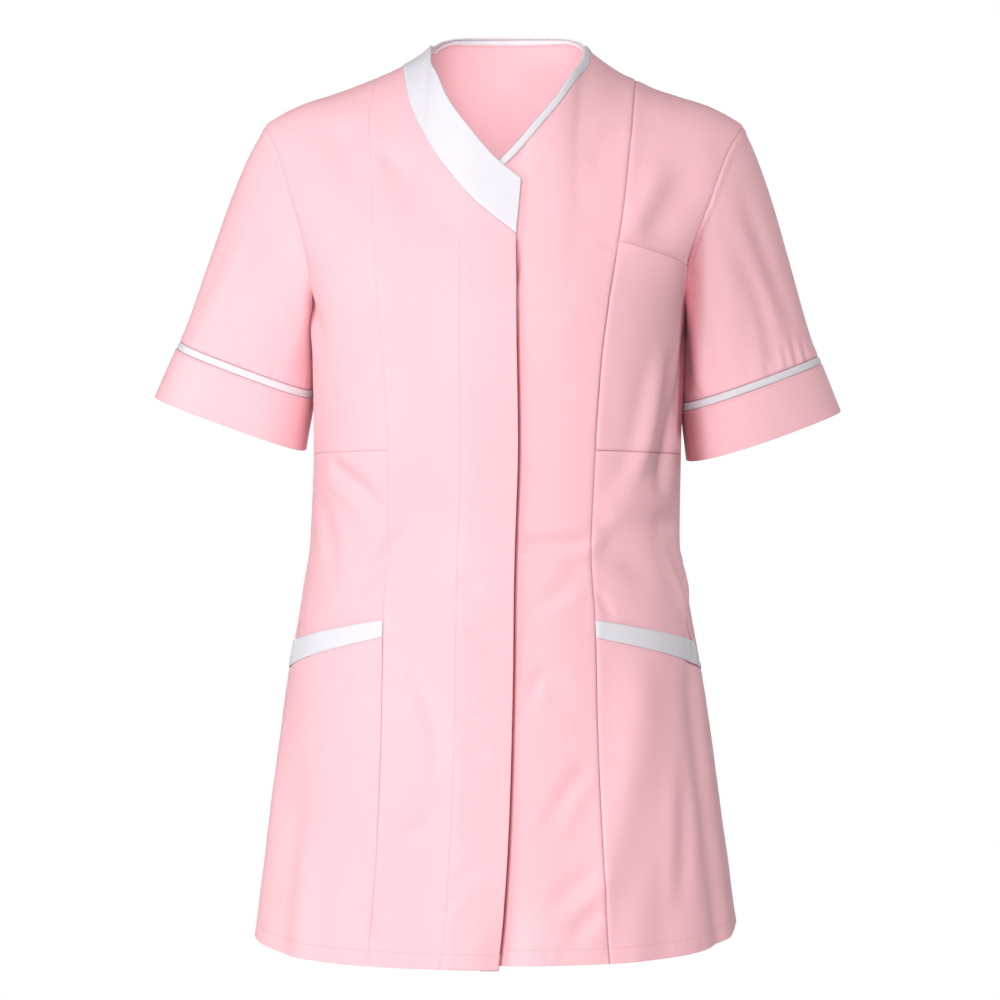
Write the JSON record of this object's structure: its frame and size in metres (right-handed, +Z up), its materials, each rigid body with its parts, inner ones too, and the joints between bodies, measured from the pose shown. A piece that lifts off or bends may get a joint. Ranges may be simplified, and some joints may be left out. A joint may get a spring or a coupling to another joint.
{
  "type": "medical tunic",
  "caption": "Short-sleeved medical tunic with a crossed V neck, concealed front opening, contrast trims, hip and chest pockets, filled out as worn and open at neck, sleeves and hem.",
  "frame": {"origin": "midway between the two points where the neckline crosses the shoulder seams, where the tunic hangs on its wearer", "axes": "+X to the wearer's left, -Y to the front, +Z up"},
  "size_m": [0.5606, 0.2766, 0.7456],
  "materials": {
    "pink_twill": "matt woven polyester and cotton",
    "white_twill": "matt woven polyester and cotton"
  },
  "bodies": {
    "root": {"front_right": "pink_twill", "front_left": "pink_twill", "upper_side_right": "pink_twill", "upper_side_left": "pink_twill", "lower_side_right": "pink_twill", "lower_side_left": "pink_twill", "hip_pocket_right": "pink_twill", "hip_pocket_left": "pink_twill", "chest_pocket_left": "pink_twill", "back": "pink_twill", "sleeve_right": "pink_twill", "sleeve_left": "pink_twill", "cuff_right": "pink_twill", "cuff_left": "pink_twill", "neck_band": "white_twill", "neck_binding": "white_twill", "pocket_band_right": "white_twill", "pocket_band_left": "white_twill", "sleeve_trim_right": "white_twill", "sleeve_trim_left": "white_twill"}
  },
  "joints": []
}
